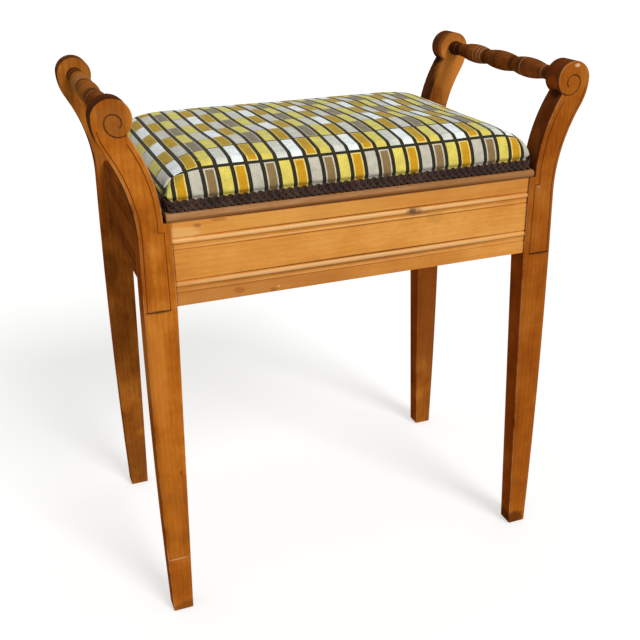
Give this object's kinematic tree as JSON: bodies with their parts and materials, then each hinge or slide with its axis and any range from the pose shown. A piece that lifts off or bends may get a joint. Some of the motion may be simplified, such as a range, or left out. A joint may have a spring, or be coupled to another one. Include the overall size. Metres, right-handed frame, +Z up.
{
  "type": "piano stool",
  "caption": "Wooden piano stool with scrolled uprights, turned handle rails and a hinged upholstered lid over a music well",
  "frame": {"origin": "on the floor under the middle of the stool", "axes": "+Z up, X across the stool between the handle rails, front towards -Y, lid hinged along +Y"},
  "size_m": [0.5564, 0.3156, 0.62],
  "materials": {
    "leg_wood": "satin shellac",
    "rail_wood": "gloss shellac",
    "front_panel_wood": "satin shellac",
    "side_panel_wood": "satin shellac",
    "inner_wood": "unfinished",
    "lid_wood": "worn shellac",
    "hinge_brass": "aged",
    "seat_fabric": "woven upholstery",
    "gimp_fabric": "braided"
  },
  "bodies": {
    "frame": {"leg_front_left": "leg_wood", "leg_front_right": "leg_wood", "leg_back_left": "leg_wood", "leg_back_right": "leg_wood", "handle_rail_left": "rail_wood", "handle_rail_right": "rail_wood", "apron_front": "front_panel_wood", "apron_back": "side_panel_wood", "apron_left": "side_panel_wood", "apron_right": "side_panel_wood", "bearer_front": "inner_wood", "bearer_back": "inner_wood", "bearer_left": "inner_wood", "bearer_right": "inner_wood", "well_floor": "inner_wood", "hinge_leaf_fixed_left": "hinge_brass", "hinge_leaf_fixed_right": "hinge_brass", "hinge_pin_left": "hinge_brass", "hinge_pin_right": "hinge_brass"},
    "lid": {"lid_board": "lid_wood", "seat_cushion": "seat_fabric", "gimp_braid": "gimp_fabric", "hinge_leaf_lid_left": "hinge_brass", "hinge_leaf_lid_right": "hinge_brass"}
  },
  "joints": [
    {"name": "lid_hinge", "type": "hinge", "parent": "frame", "child": "lid", "pos_m": [0, 0.1554, 0.49185], "axis": [-1, 0, 0], "range_deg": [0, 98]}
  ]
}
